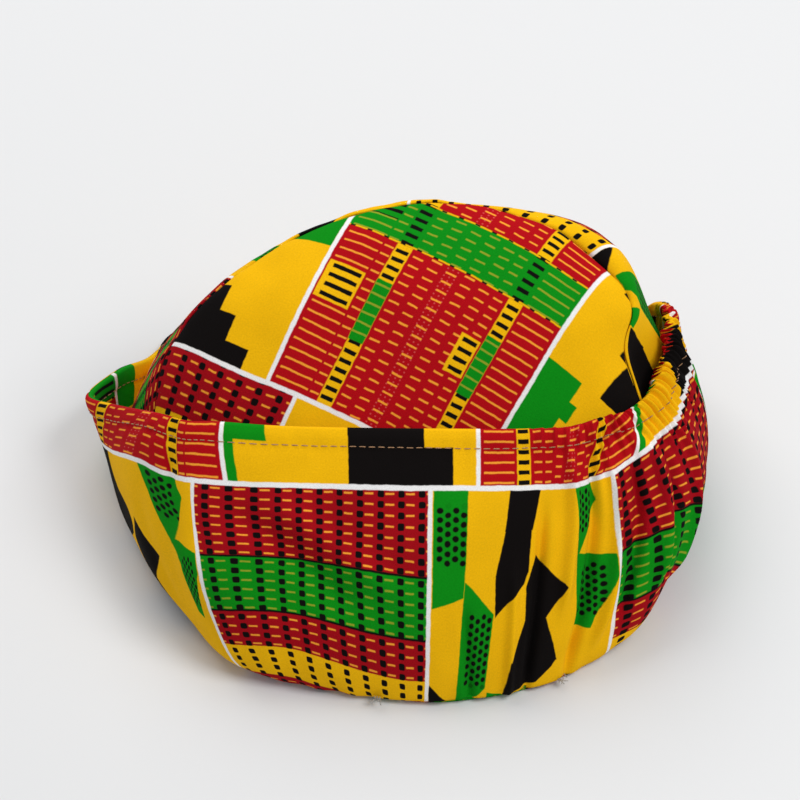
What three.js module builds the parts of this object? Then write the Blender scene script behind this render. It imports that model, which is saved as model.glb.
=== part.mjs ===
// A reversible cotton kufi: a side band sewn round a nearly round crown panel, doubled by a lining cut
// from the same cloth. It lies half turned inside out. The near half of the band stands up like a cuff
// with its outer side showing, the crown slopes up behind it with its lining side showing, and the far
// half of the band hangs inside out from the raised crown seam down to the table.
// Millimetres, +Z up. +X points to the gathered elastic back of the cap, +Y away from the cuff.
import * as THREE from "three";

// Sizes of the cut cloth
const crownLength = 186; // crown panel, brow to nape
const crownWidth = 182; // crown panel, ear to ear
const bandHeight = 98.5; // side band, rim to crown seam
const clothWall = 1.2; // one layer of cotton
const layerGap = 0.35; // between the outer cloth and the lining
const seamGap = 0.45; // between edges that are sewn to each other

// The stitched channel along the rim and the elastic in it
const hemDepth = 7.3;
const hemFullness = 0.5;
const gatherShare = 0.27; // share of the band that the elastic draws in
const gatherMiddle = -0.025; // its middle, a share of the way round
const gatherCount = 13;
const gatherHeight = 1.6;
const gatherReach = 50; // how far below the rim the last pleat dies out

// Sizes of the cap as it lies
const raisedHeight = 96.4; // far crown seam above the near one
const settledLift = 0.6; // cloth lower than this is pressed flat on the table

// The band's cross-sections, each at its share of the way round from the elastic. Along and across
// are shares of half the crown's length and width for the seam, and for the low, high and rim points
// they are steps out from the seam in shares of the band's height. Lifts are shares of raisedHeight.
const sectionColumns = [
  "at", "seamAlong", "seamAcross", "seamLift", "lowAlong", "lowAcross", "lowLift",
  "highAlong", "highAcross", "highLift", "rimAlong", "rimAcross", "rimLift",
];
const sectionRows = [
  [0.0, 0.85, -0.05, 0.35, 0.09, 0.0, 0.08, 0.2, 0.22, 0.23, 0.02, 0.37, 0.6],
  [0.035, 0.81, 0.18, 0.53, 0.14, 0.02, 0.18, 0.25, 0.17, 0.24, 0.1, 0.27, 0.6],
  [0.07, 0.73, 0.36, 0.7, 0.15, 0.06, 0.39, 0.29, 0.15, 0.22, 0.19, 0.21, 0.59],
  [0.1, 0.76, 0.51, 0.8, 0.11, 0.08, 0.56, 0.23, 0.19, 0.22, 0.17, 0.2, 0.56],
  [0.14, 0.61, 0.66, 0.9, 0.17, 0.12, 0.68, 0.25, 0.22, 0.24, 0.28, 0.22, 0.43],
  [0.172, 0.46, 0.75, 0.96, 0.16, 0.15, 0.79, 0.3, 0.27, 0.41, 0.33, 0.26, 0.19],
  [0.22, 0.17, 0.83, 1.0, 0.08, 0.14, 0.77, 0.23, 0.25, 0.39, 0.38, 0.28, 0.01],
  [0.28, -0.16, 0.82, 1.0, 0.03, 0.14, 0.78, 0.07, 0.24, 0.38, 0.12, 0.28, -0.01],
  [0.344, -0.53, 0.71, 0.93, -0.05, 0.13, 0.71, -0.04, 0.3, 0.36, 0.03, 0.42, -0.01],
  [0.409, -0.83, 0.53, 0.81, -0.08, 0.12, 0.6, -0.16, 0.3, 0.29, -0.17, 0.59, 0.0],
  [0.455, -1.01, 0.37, 0.63, -0.1, 0.09, 0.36, -0.14, 0.28, 0.1, -0.14, 0.53, 0.07],
  [0.491, -1.05, 0.21, 0.48, -0.11, 0.09, 0.19, -0.17, 0.25, 0.05, -0.19, 0.49, 0.21],
  [0.525, -1.04, 0.05, 0.37, -0.12, 0.09, 0.11, -0.19, 0.24, 0.08, -0.29, 0.42, 0.31],
  [0.56, -0.98, -0.12, 0.27, -0.14, 0.08, 0.07, -0.22, 0.23, 0.16, -0.22, 0.42, 0.43],
  [0.6, -0.85, -0.31, 0.17, -0.14, 0.02, 0.1, -0.25, 0.2, 0.31, -0.17, 0.4, 0.61],
  [0.638, -0.75, -0.46, 0.04, -0.13, -0.01, 0.11, -0.2, 0.2, 0.41, -0.14, 0.43, 0.69],
  [0.662, -0.66, -0.58, 0.0, -0.12, -0.01, 0.19, -0.19, 0.25, 0.47, -0.13, 0.53, 0.7],
  [0.7, -0.45, -0.69, 0.0, -0.07, 0.07, 0.22, -0.09, 0.32, 0.49, -0.09, 0.61, 0.7],
  [0.78, -0.01, -0.77, 0.0, 0.0, 0.15, 0.27, 0.01, 0.39, 0.51, 0.01, 0.68, 0.69],
  [0.851, 0.36, -0.71, 0.0, 0.05, 0.14, 0.26, 0.1, 0.36, 0.49, 0.11, 0.63, 0.69],
  [0.89, 0.58, -0.6, 0.0, 0.08, 0.1, 0.2, 0.13, 0.32, 0.43, 0.05, 0.6, 0.66],
  [0.917, 0.71, -0.46, 0.04, 0.1, 0.01, 0.14, 0.17, 0.23, 0.39, 0.01, 0.52, 0.63],
  [0.955, 0.8, -0.27, 0.18, 0.06, 0.02, 0.05, 0.2, 0.22, 0.28, 0.02, 0.45, 0.61],
];

// The slope of the crown through its middle, from the cuff's seam to the raised seam. Across is a
// share of half the crown's width, lift a share of raisedHeight.
const spineColumns = ["across", "lift"];
const spineRows = [
  [-0.77, 0.0],
  [-0.65, 0.005],
  [-0.43, 0.18],
  [-0.04, 0.53],
  [0.39, 0.83],
  [0.67, 0.96],
  [0.84, 1.0],
];
const crownHubAlong = -0.08; // middle of the crown panel as it lies, a share of half its length
const crownHubAcross = 0.04;
const ringCrowding = 1.4; // rings lie closer together towards the seam
const edgeDroop = 4; // power with which the crown turns down towards its seam

// Main folds of the band. At is a share of the way round, down a share of the height below the rim,
// breadth and height shares of the band's height. A negative height is a dent.
const foldColumns = ["fromAt", "fromDown", "toAt", "toDown", "breadth", "height"];
const foldRows = [
  [0.668, 0.22, 0.765, 0.8, 0.07, -0.018],
  [0.655, 0.4, 0.7, 0.85, 0.1, 0.016],
  [0.84, 0.3, 0.846, 0.95, 0.035, -0.014],
  [0.862, 0.25, 0.868, 0.9, 0.03, 0.014],
  [0.6, 0.3, 0.63, 0.8, 0.06, -0.014],
  [0.3, 0.2, 0.33, 0.9, 0.08, 0.016],
  [0.2, 0.3, 0.21, 0.9, 0.06, -0.014],
];

// How finely the solids are faceted
const columnsPerGather = 5;
const stretchColumns = ["from", "to", "columns"]; // the band away from the elastic, in shares
const stretchRows = [
  [gatherMiddle + gatherShare / 2, 0.43, 12],
  [0.43, 0.7, 19],
  [0.7, 1 + gatherMiddle - gatherShare / 2, 6],
];
const bandRows = 6; // between the hem and the seam's margin
const crownRings = 4; // between the hub and the seam's margin
const profileSteps = 48;

const halfLength = crownLength / 2;
const halfWidth = crownWidth / 2;
const innerFace = layerGap / 2;
const outerFace = layerGap / 2 + clothWall;
const tableLift = outerFace; // lifts the middle of the wall so that its outer face meets the table
const seamMargin = 5 * outerFace; // holds the set-backs of the seams
const tinyShare = 0.002;

function named(columns, rows) {
  return rows.map((row) => Object.fromEntries(columns.map((column, i) => [column, row[i]])));
}

const sections = named(sectionColumns, sectionRows);
const spine = named(spineColumns, spineRows);
const folds = named(foldColumns, foldRows);
const stretches = named(stretchColumns, stretchRows);

// Smooth curve through values a, b at the ends of a step, with slopes taken from the outer neighbours
function hermite(a, b, slopeA, slopeB, step, s) {
  const s2 = s * s;
  const s3 = s2 * s;
  const held = (2 * s3 - 3 * s2 + 1) * a + (3 * s2 - 2 * s3) * b;
  return held + step * ((s3 - 2 * s2 + s) * slopeA + (s3 - s2) * slopeB);
}

// One column of the section table, read at any share of the way round
function sectionValue(column, at) {
  const count = sections.length;
  const wrapped = at - Math.floor(at);
  let i = 0;
  while (i < count - 1 && sections[i + 1].at <= wrapped) i += 1;
  const row = (k) => sections[(k + count) % count];
  const place = (k) => row(k).at + Math.floor(k / count);
  const slope = (k) => (row(k + 1)[column] - row(k - 1)[column]) / (place(k + 1) - place(k - 1));
  const step = place(i + 1) - place(i);
  const s = (wrapped - place(i)) / step;
  return hermite(row(i)[column], row(i + 1)[column], slope(i), slope(i + 1), step, s);
}

// Height of the crown's middle slope at a distance across, in shares
function spineLift(across) {
  const last = spine.length - 1;
  if (across <= spine[0].across) return spine[0].lift;
  if (across >= spine[last].across) return spine[last].lift;
  let i = 0;
  while (spine[i + 1].across < across) i += 1;
  const slope = (k) => {
    const a = spine[Math.max(k - 1, 0)];
    const b = spine[Math.min(k + 1, last)];
    return k === 0 ? 0 : (b.lift - a.lift) / (b.across - a.across);
  };
  const step = spine[i + 1].across - spine[i].across;
  const s = (across - spine[i].across) / step;
  return hermite(spine[i].lift, spine[i + 1].lift, slope(i), slope(i + 1), step, s);
}

function seamPoint(at) {
  return new THREE.Vector3(
    sectionValue("seamAlong", at) * halfLength,
    sectionValue("seamAcross", at) * halfWidth,
    sectionValue("seamLift", at) * raisedHeight,
  );
}

function stepPoint(at, seam, name) {
  return new THREE.Vector3(
    seam.x + sectionValue(`${name}Along`, at) * bandHeight,
    seam.y + sectionValue(`${name}Across`, at) * bandHeight,
    sectionValue(`${name}Lift`, at) * raisedHeight,
  );
}

// The band's curve at one place, rim first: a cubic through rim, high, low and seam points at thirds
function bandProfile(at) {
  const seam = seamPoint(at);
  const knots = [stepPoint(at, seam, "rim"), stepPoint(at, seam, "high"), stepPoint(at, seam, "low"), seam];
  const points = [];
  for (let i = 0; i <= profileSteps; i += 1) {
    const s = (3 * i) / profileSteps;
    const weights = [
      -((s - 1) * (s - 2) * (s - 3)) / 6,
      (s * (s - 2) * (s - 3)) / 2,
      -(s * (s - 1) * (s - 3)) / 2,
      (s * (s - 1) * (s - 2)) / 6,
    ];
    const point = new THREE.Vector3();
    weights.forEach((weight, k) => point.addScaledVector(knots[k], weight));
    points.push(point);
  }
  const lengths = [0];
  for (let i = 1; i < points.length; i += 1) {
    lengths.push(lengths[i - 1] + points[i].distanceTo(points[i - 1]));
  }
  return { points, lengths, total: lengths[profileSteps] };
}

const profileCache = new Map();
function profileAt(at) {
  const key = at.toFixed(6);
  if (!profileCache.has(key)) profileCache.set(key, bandProfile(at));
  return profileCache.get(key);
}

// The middle of the band's wall, at a share of the way round and millimetres below the rim
function bandMiddle(at, down) {
  const profile = profileAt(at);
  let i = 1;
  while (i < profileSteps && profile.lengths[i] < down) i += 1;
  const span = profile.lengths[i] - profile.lengths[i - 1];
  const s = (down - profile.lengths[i - 1]) / span;
  return profile.points[i - 1].clone().lerp(profile.points[i], s);
}

// The middle of the crown's wall. The panel shrinks evenly to its hub in plan, and its height goes
// over from the seam's to the middle slope's.
function crownMiddle(at, reach) {
  const seam = seamPoint(at);
  const hubX = crownHubAlong * halfLength;
  const hubY = crownHubAcross * halfWidth;
  const x = hubX + (seam.x - hubX) * reach;
  const y = hubY + (seam.y - hubY) * reach;
  const share = reach ** edgeDroop;
  const z = seam.z * share + spineLift(y / halfWidth) * raisedHeight * (1 - share);
  return new THREE.Vector3(x, y, z);
}

// Directions towards the cap's outer side
function bandNormal(at, down) {
  const total = profileAt(at).total;
  const low = Math.max(down - 1, 0);
  const high = Math.min(down + 1, total);
  const round = bandMiddle(at + tinyShare, down).sub(bandMiddle(at - tinyShare, down));
  const toRim = bandMiddle(at, low).sub(bandMiddle(at, high));
  return round.cross(toRim).normalize();
}

function crownNormal(at, reach) {
  const out = Math.min(reach + 0.01, 1);
  const round = crownMiddle(at + tinyShare, reach).sub(crownMiddle(at - tinyShare, reach));
  const outward = crownMiddle(at, out).sub(crownMiddle(at, out - 0.02));
  return round.cross(outward).normalize();
}

// Pleats of the elastic: a wave round the rim, strongest at the middle of the elastic, fading down
function gatherOffset(at, down) {
  const fromMiddle = at - gatherMiddle - Math.round(at - gatherMiddle);
  const share = Math.abs(fromMiddle) / (gatherShare / 2);
  if (share >= 1 || down >= gatherReach) return 0;
  const swell = Math.cos((share * Math.PI) / 2) ** 0.6;
  const fade = Math.cos((down / gatherReach) * (Math.PI / 2)) ** 2;
  const wave = Math.cos((fromMiddle / gatherShare) * gatherCount * 2 * Math.PI);
  return gatherHeight * swell * fade * wave;
}

function smoothEnd(s) {
  const t = Math.min(Math.max(s, 0), 1);
  return t * t * (3 - 2 * t);
}

// Each fold is a rounded ridge or dent along a straight line in the flat cloth
function foldOffset(at, down, total) {
  const wrapped = at - Math.floor(at);
  const clothRound = 2 * Math.PI * Math.sqrt(halfLength * halfWidth);
  let sum = 0;
  for (const fold of folds) {
    const lineX = (fold.toAt - fold.fromAt) * clothRound;
    const lineY = (fold.toDown - fold.fromDown) * total;
    const x = (wrapped - fold.fromAt) * clothRound;
    const y = down - fold.fromDown * total;
    const length = Math.hypot(lineX, lineY);
    const alongLine = (x * lineX + y * lineY) / length ** 2;
    const offLine = Math.abs(x * lineY - y * lineX) / length;
    const ends = smoothEnd(alongLine / 0.25) * smoothEnd((1 - alongLine) / 0.25);
    sum += fold.height * bandHeight * ends * Math.exp(-((offLine / (fold.breadth * bandHeight)) ** 2));
  }
  return sum;
}

// Where two walls meet at the seam, the one inside the corner is cut back to clear the other.
// Band and crown get a set-back each, worked out square to the seam line and then measured along
// the wall's own lines, which may meet the seam at a slant.
function seamSetBack(at, side) {
  const seam = seamPoint(at);
  const total = profileAt(at).total;
  const tangent = seamPoint(at + tinyShare).sub(seamPoint(at - tinyShare)).normalize();
  const bandWay = bandMiddle(at, total - 2).sub(seam).normalize();
  const crownWay = crownMiddle(at, 0.97).sub(seam).normalize();
  bandWay.addScaledVector(tangent, -bandWay.dot(tangent));
  crownWay.addScaledVector(tangent, -crownWay.dot(tangent));
  const bandSlant = Math.max(bandWay.length(), 0.4);
  const crownSlant = Math.max(crownWay.length(), 0.4);
  bandWay.normalize();
  crownWay.normalize();
  const edge = seamGap / 2;
  if (bandWay.dot(crownNormal(at, 1)) * side < 0) return { band: edge / bandSlant, crown: edge / crownSlant };
  const cos = bandWay.dot(crownWay);
  const sin = Math.max(Math.sqrt(1 - cos * cos), 0.05);
  const over = (outerFace + seamGap + outerFace * cos) / sin;
  const beside = cos < 0 ? (outerFace * sin + edge) / -cos : Infinity;
  const crownClear = (seamGap - innerFace + outerFace * cos) / sin;
  return {
    band: Math.min(Math.max(edge, Math.min(over, beside)) / bandSlant, seamMargin * 0.8),
    crown: Math.min(Math.max(edge, crownClear) / crownSlant, seamMargin * 0.4),
  };
}

// Lifts the cap onto the table and presses flat what touches it
function settled(point) {
  const z = point.z + tableLift;
  point.z = z < settledLift ? 0 : z;
  return point;
}

// Shares of the way round at which the walls are cut into facets
function wallColumns() {
  const columns = [];
  const pleated = gatherCount * columnsPerGather;
  for (let i = 0; i < pleated; i += 1) {
    columns.push(gatherMiddle + gatherShare * (i / pleated - 0.5));
  }
  for (const stretch of stretches) {
    for (let i = 0; i < stretch.columns; i += 1) {
      columns.push(stretch.from + (stretch.to - stretch.from) * (i / stretch.columns));
    }
  }
  return columns;
}

// Distances below the rim: close together over the stitched channel, even to the seam's margin,
// which both layers share, and then to the layer's own set-back
function wallRows(total, setBack) {
  const rows = [0, 0.25, 0.75, 1].map((share) => share * hemDepth);
  const margin = total - seamMargin;
  for (let i = 1; i <= bandRows; i += 1) {
    rows.push(hemDepth + ((margin - hemDepth) * i) / bandRows);
  }
  rows.push(total - setBack);
  return rows;
}

// Both faces of one layer of the band, side +1 for the outer cloth and -1 for the lining
function bandLoop(at, side) {
  const total = profileAt(at).total;
  const rows = wallRows(total, seamSetBack(at, side).band);
  const face = (down, offset) => {
    const wave = gatherOffset(at, down) + foldOffset(at, down, total);
    return settled(bandMiddle(at, down).addScaledVector(bandNormal(at, down), wave + side * offset));
  };
  const fullness = (down) => (down < hemDepth ? hemFullness * Math.sin((down / hemDepth) * Math.PI) : 0);
  const near = rows.map((down) => face(down, innerFace));
  const away = rows.map((down) => face(down, outerFace + fullness(down)));
  return side > 0 ? [...away, ...near.reverse()] : [...near, ...away.reverse()];
}

// Both faces of one layer of the crown, from the hub out to the seam and back
function crownLoop(at, side) {
  const seam = seamPoint(at);
  const hub = crownMiddle(at, 0);
  const radius = seam.distanceTo(hub);
  const reaches = [];
  for (let i = 1; i <= crownRings; i += 1) {
    reaches.push((1 - seamMargin / 2 / radius) * (1 - (1 - i / crownRings) ** ringCrowding));
  }
  reaches.push(1 - seamSetBack(at, side).crown / radius);
  const face = (reach, offset) =>
    settled(crownMiddle(at, reach).addScaledVector(crownNormal(at, reach), side * offset));
  const near = reaches.map((reach) => face(reach, innerFace));
  const away = reaches.map((reach) => face(reach, outerFace));
  return side > 0 ? [...near, ...away.reverse()] : [...away, ...near.reverse()];
}

function solid(name, points, triangles, finish) {
  const geometry = new THREE.BufferGeometry();
  const positions = new Float32Array(points.flatMap((point) => [point.x, point.y, point.z]));
  geometry.setAttribute("position", new THREE.BufferAttribute(positions, 3));
  geometry.setIndex(triangles);
  geometry.computeVertexNormals();
  const mesh = new THREE.Mesh(geometry, finish);
  mesh.name = name;
  return mesh;
}

// Two triangles between neighbouring columns. Both faces of a wall are split along the same diagonal
// of the cloth, so that two layers lie evenly against each other.
function splitQuad(i, next, j, below, count, returning) {
  const [a, b, c, d] = [i * count + j, next * count + j, next * count + below, i * count + below];
  return returning ? [a, d, b, b, d, c] : [a, c, b, a, d, c];
}

// Closed ring: each column is a closed loop of points round the wall's section
function bandSolid(name, side, finish) {
  const loops = wallColumns().map((at) => bandLoop(at, side));
  const count = loops[0].length;
  const triangles = [];
  for (let i = 0; i < loops.length; i += 1) {
    const next = (i + 1) % loops.length;
    for (let j = 0; j < count; j += 1) {
      triangles.push(...splitQuad(i, next, j, (j + 1) % count, count, j >= count / 2));
    }
  }
  return solid(name, loops.flat(), triangles, finish);
}

// Closed disc: each column runs from one hub over the edge to the other hub
function crownSolid(name, side, finish) {
  const pleated = gatherCount * columnsPerGather;
  const columns = wallColumns().filter((_, i) => i % 2 === 0 || i > pleated);
  const loops = columns.map((at) => crownLoop(at, side));
  const count = loops[0].length;
  const points = loops.flat();
  const hubNormal = new THREE.Vector3();
  columns.forEach((at) => hubNormal.add(crownNormal(at, 0.05)));
  hubNormal.normalize();
  const hubFace = (offset) => settled(crownMiddle(0, 0).addScaledVector(hubNormal, side * offset));
  const firstHub = points.length;
  points.push(hubFace(side > 0 ? innerFace : outerFace));
  points.push(hubFace(side > 0 ? outerFace : innerFace));
  const triangles = [];
  for (let i = 0; i < loops.length; i += 1) {
    const next = (i + 1) % loops.length;
    triangles.push(firstHub, i * count, next * count);
    for (let j = 0; j < count - 1; j += 1) {
      triangles.push(...splitQuad(i, next, j, j + 1, count, j >= count / 2));
    }
    triangles.push(firstHub + 1, next * count + count - 1, i * count + count - 1);
  }
  return solid(name, points, triangles, finish);
}

const redCotton = new THREE.MeshStandardMaterial({ color: 0xb01822, roughness: 0.85, metalness: 0 });
const goldCotton = new THREE.MeshStandardMaterial({ color: 0xe8b00c, roughness: 0.85, metalness: 0 });

// Sets the finished cap on the table with its middle over the origin
function centred(pieces) {
  const group = new THREE.Group();
  group.add(...pieces);
  const box = new THREE.Box3().setFromObject(group);
  const middle = box.getCenter(new THREE.Vector3());
  for (const piece of pieces) {
    piece.geometry.translate(-middle.x, -middle.y, -box.min.z);
  }
  return group;
}

const kufi = centred([
  bandSolid("outer_band", 1, redCotton),
  crownSolid("outer_crown", 1, goldCotton),
  bandSolid("lining_band", -1, goldCotton),
  crownSolid("lining_crown", -1, redCotton),
]);

export default kufi;
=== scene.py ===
# A reversible cotton kufi lying half inside out. Lengths are in millimetres until a mesh is made.
import bpy
import math
import numpy as np
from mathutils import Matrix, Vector


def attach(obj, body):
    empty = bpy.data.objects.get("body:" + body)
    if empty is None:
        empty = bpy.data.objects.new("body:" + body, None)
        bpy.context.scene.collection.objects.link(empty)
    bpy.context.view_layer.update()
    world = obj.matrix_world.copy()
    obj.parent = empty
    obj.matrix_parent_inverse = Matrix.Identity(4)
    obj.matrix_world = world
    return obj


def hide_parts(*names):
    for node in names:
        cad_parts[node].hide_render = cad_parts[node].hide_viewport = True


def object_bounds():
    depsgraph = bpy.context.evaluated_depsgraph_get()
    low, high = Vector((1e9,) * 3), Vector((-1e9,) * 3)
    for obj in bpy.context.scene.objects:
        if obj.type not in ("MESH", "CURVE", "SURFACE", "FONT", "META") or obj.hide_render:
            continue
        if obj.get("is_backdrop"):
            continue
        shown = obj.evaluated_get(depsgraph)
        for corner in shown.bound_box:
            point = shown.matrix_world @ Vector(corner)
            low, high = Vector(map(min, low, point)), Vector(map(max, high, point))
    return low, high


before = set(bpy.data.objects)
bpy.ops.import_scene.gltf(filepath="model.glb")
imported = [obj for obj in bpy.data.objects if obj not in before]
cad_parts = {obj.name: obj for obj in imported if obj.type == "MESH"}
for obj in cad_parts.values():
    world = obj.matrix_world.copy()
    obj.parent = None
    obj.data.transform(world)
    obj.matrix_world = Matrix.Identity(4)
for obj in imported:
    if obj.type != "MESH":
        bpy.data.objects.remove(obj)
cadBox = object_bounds()
print("frame loaded")

cap = {
    "crownLength": 186,
    "crownWidth": 182,
    "bandHeight": 98.5,
    "raisedHeight": 96.4,
    "wall": 1.2,           # one layer of cotton
    "layerGap": 0.35,
    "hemDepth": 7.3,       # rim to topstitching
    "clothRound": 621,     # band cloth before the elastic
    "shift": (12.256, -18.931, 1.375),  # middle of the cap over the origin, its cloth on the table
}
halfLength = cap["crownLength"] / 2
halfWidth = cap["crownWidth"] / 2
innerFace = cap["layerGap"] / 2
outerFace = innerFace + cap["wall"]

# Cross-sections of the band at their share of the way round from the elastic. The seam is in halves
# of the crown's length and width, the other points are steps out from it in band heights, and
# lifts are shares of raisedHeight. A row holds at, then along, across and lift of the seam, the low
# point, the high point and the rim.
sections = np.array([
    [0.0, 0.85, -0.05, 0.35, 0.09, 0.0, 0.08, 0.2, 0.22, 0.23, 0.02, 0.37, 0.6],
    [0.035, 0.81, 0.18, 0.53, 0.14, 0.02, 0.18, 0.25, 0.17, 0.24, 0.1, 0.27, 0.6],
    [0.07, 0.73, 0.36, 0.7, 0.15, 0.06, 0.39, 0.29, 0.15, 0.22, 0.19, 0.21, 0.59],
    [0.1, 0.76, 0.51, 0.8, 0.11, 0.08, 0.56, 0.23, 0.19, 0.22, 0.17, 0.2, 0.56],
    [0.14, 0.61, 0.66, 0.9, 0.17, 0.12, 0.68, 0.25, 0.22, 0.24, 0.28, 0.22, 0.43],
    [0.172, 0.46, 0.75, 0.96, 0.16, 0.15, 0.79, 0.3, 0.27, 0.41, 0.33, 0.26, 0.19],
    [0.22, 0.17, 0.83, 1.0, 0.08, 0.14, 0.77, 0.23, 0.25, 0.39, 0.38, 0.28, 0.01],
    [0.28, -0.16, 0.82, 1.0, 0.03, 0.14, 0.78, 0.07, 0.24, 0.38, 0.12, 0.28, -0.01],
    [0.344, -0.53, 0.71, 0.93, -0.05, 0.13, 0.71, -0.04, 0.3, 0.36, 0.03, 0.42, -0.01],
    [0.409, -0.83, 0.53, 0.81, -0.08, 0.12, 0.6, -0.16, 0.3, 0.29, -0.17, 0.59, 0.0],
    [0.455, -1.01, 0.37, 0.63, -0.1, 0.09, 0.36, -0.14, 0.28, 0.1, -0.14, 0.53, 0.07],
    [0.491, -1.05, 0.21, 0.48, -0.11, 0.09, 0.19, -0.17, 0.25, 0.05, -0.19, 0.49, 0.21],
    [0.525, -1.04, 0.05, 0.37, -0.12, 0.09, 0.11, -0.19, 0.24, 0.08, -0.29, 0.42, 0.31],
    [0.56, -0.98, -0.12, 0.27, -0.14, 0.08, 0.07, -0.22, 0.23, 0.16, -0.22, 0.42, 0.43],
    [0.6, -0.85, -0.31, 0.17, -0.14, 0.02, 0.1, -0.25, 0.2, 0.31, -0.17, 0.4, 0.61],
    [0.638, -0.75, -0.46, 0.04, -0.13, -0.01, 0.11, -0.2, 0.2, 0.41, -0.14, 0.43, 0.69],
    [0.662, -0.66, -0.58, 0.0, -0.12, -0.01, 0.19, -0.19, 0.25, 0.47, -0.13, 0.53, 0.7],
    [0.7, -0.45, -0.69, 0.0, -0.07, 0.07, 0.22, -0.09, 0.32, 0.49, -0.09, 0.61, 0.7],
    [0.78, -0.01, -0.77, 0.0, 0.0, 0.15, 0.27, 0.01, 0.39, 0.51, 0.01, 0.68, 0.69],
    [0.851, 0.36, -0.71, 0.0, 0.05, 0.14, 0.26, 0.1, 0.36, 0.49, 0.11, 0.63, 0.69],
    [0.89, 0.58, -0.6, 0.0, 0.08, 0.1, 0.2, 0.13, 0.32, 0.43, 0.05, 0.6, 0.66],
    [0.917, 0.71, -0.46, 0.04, 0.1, 0.01, 0.14, 0.17, 0.23, 0.39, 0.01, 0.52, 0.63],
    [0.955, 0.8, -0.27, 0.18, 0.06, 0.02, 0.05, 0.2, 0.22, 0.28, 0.02, 0.45, 0.61],
])

# The crown's slope through its middle, from the cuff's seam to the raised one: places across in
# halves of the crown's width, lifts as shares of raisedHeight
spine = np.array([
    [-0.77, 0.0], [-0.65, 0.005], [-0.43, 0.18], [-0.04, 0.53], [0.39, 0.83], [0.67, 0.96], [0.84, 1.0],
])
crownShape = {
    "hubAlong": -0.08,     # halves of the crown's length
    "hubAcross": 0.04,     # halves of its width
    "edgeDroop": 4,        # how late the slope's height goes over to the seam's
}
curveSamples = 121         # points that measure each section's length
settling = 1.5             # mm over the table within which the cloth settles softly


# Cubic from a to b over a step, with the given slopes at its ends: (2s^3 - 3s^2 + 1) a
# + (3s^2 - 2s^3) b + step x ((s^3 - 2s^2 + s) slopeA + (s^3 - s^2) slopeB), s from 0 to 1
def slopedCubic(a, b, slopeA, slopeB, step, s):
    s2, s3 = s * s, s * s * s
    bends = (s3 - 2 * s2 + s) * slopeA + (s3 - s2) * slopeB
    return (2 * s3 - 3 * s2 + 1) * a + (3 * s2 - 2 * s3) * b + step * bends


# The section table read at any places round the band, going on over its end: a sloped cubic between
# two rows, each row's slope being that of the line through the rows on either side
def sectionAt(at):
    places, rows = sections[:, 0], sections[:, 1:]
    count = len(places)
    wrapped = at % 1
    i = np.searchsorted(places, wrapped, side="right") - 1
    place = lambda k: places[k % count] + k // count
    row = lambda k: rows[k % count]
    slope = lambda k: (row(k + 1) - row(k - 1)) / (place(k + 1) - place(k - 1))[:, None]
    step = (place(i + 1) - place(i))[:, None]
    s = (wrapped - place(i))[:, None] / step
    return slopedCubic(row(i), row(i + 1), slope(i), slope(i + 1), step, s)


# Lift of the crown's slope at places across: a sloped cubic between the spine's points, level at the
# first and straight at the last
def spineLift(across):
    x, y = spine[:, 0], spine[:, 1]
    slopes = np.zeros(len(x))
    slopes[1:-1] = (y[2:] - y[:-2]) / (x[2:] - x[:-2])
    slopes[-1] = (y[-1] - y[-2]) / (x[-1] - x[-2])
    inside = np.clip(across, x[0], x[-1])
    i = np.clip(np.searchsorted(x, inside, side="right") - 1, 0, len(x) - 2)
    step = x[i + 1] - x[i]
    return slopedCubic(y[i], y[i + 1], slopes[i], slopes[i + 1], step, (inside - x[i]) / step)


# The seam in mm: the table's shares times half the length, half the width and the raised height
def seamPoints(at):
    table = sectionAt(at)
    along, across = table[:, 0] * halfLength, table[:, 1] * halfWidth
    return np.stack([along, across, table[:, 2] * cap["raisedHeight"]], 1)


# Rim, high, low and seam points of each section: the seam plus steps in band heights, at heights
# that are shares of the raised height
def knotPoints(at):
    table = sectionAt(at)
    seam = seamPoints(at)
    knots = [seam]
    for first in (3, 6, 9):
        step = table[:, first:first + 2] * cap["bandHeight"]
        knots.append(np.column_stack([seam[:, :2] + step, table[:, first + 2] * cap["raisedHeight"]]))
    return np.stack(knots[::-1], 1)


# Cubic through four points, which it meets at s = 0, 1, 2 and 3: each point is weighted by the
# product of s less the other three places, over that product at its own place
def cubicThrough(knots, s):
    weights = [
        -(s - 1) * (s - 2) * (s - 3) / 6,
        s * (s - 2) * (s - 3) / 2,
        -s * (s - 1) * (s - 3) / 2,
        s * (s - 1) * (s - 2) / 6,
    ]
    return sum(w[..., None] * knots[:, None, k] for k, w in enumerate(weights))


# Middle of the band's wall: shares of the band's height below the rim, spread by length along a
# cubic through the four points of each section. Below the settling height h, a height z becomes
# h x e^(z/h - 1). Returns points and the section lengths.
def bandMiddle(at, shares):
    knots = knotPoints(at)
    steps = np.broadcast_to(np.linspace(0, 3, curveSamples), (len(at), curveSamples))
    curve = cubicThrough(knots, steps)
    lengths = np.zeros((len(at), curveSamples))
    lengths[:, 1:] = np.cumsum(np.linalg.norm(np.diff(curve, axis=1), axis=2), 1)
    totals = lengths[:, -1]
    apart = 1000.0 * np.arange(len(at))[:, None]   # keeps the sections' lengths apart in one lookup
    wanted = shares * totals[:, None] + apart
    s = np.interp(wanted.ravel(), (lengths + apart).ravel(), steps.ravel()).reshape(wanted.shape)
    points = cubicThrough(knots, s)
    z = points[..., 2]
    points[..., 2] = np.where(z < settling, settling * np.exp(z / settling - 1), z)
    return points, totals


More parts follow.
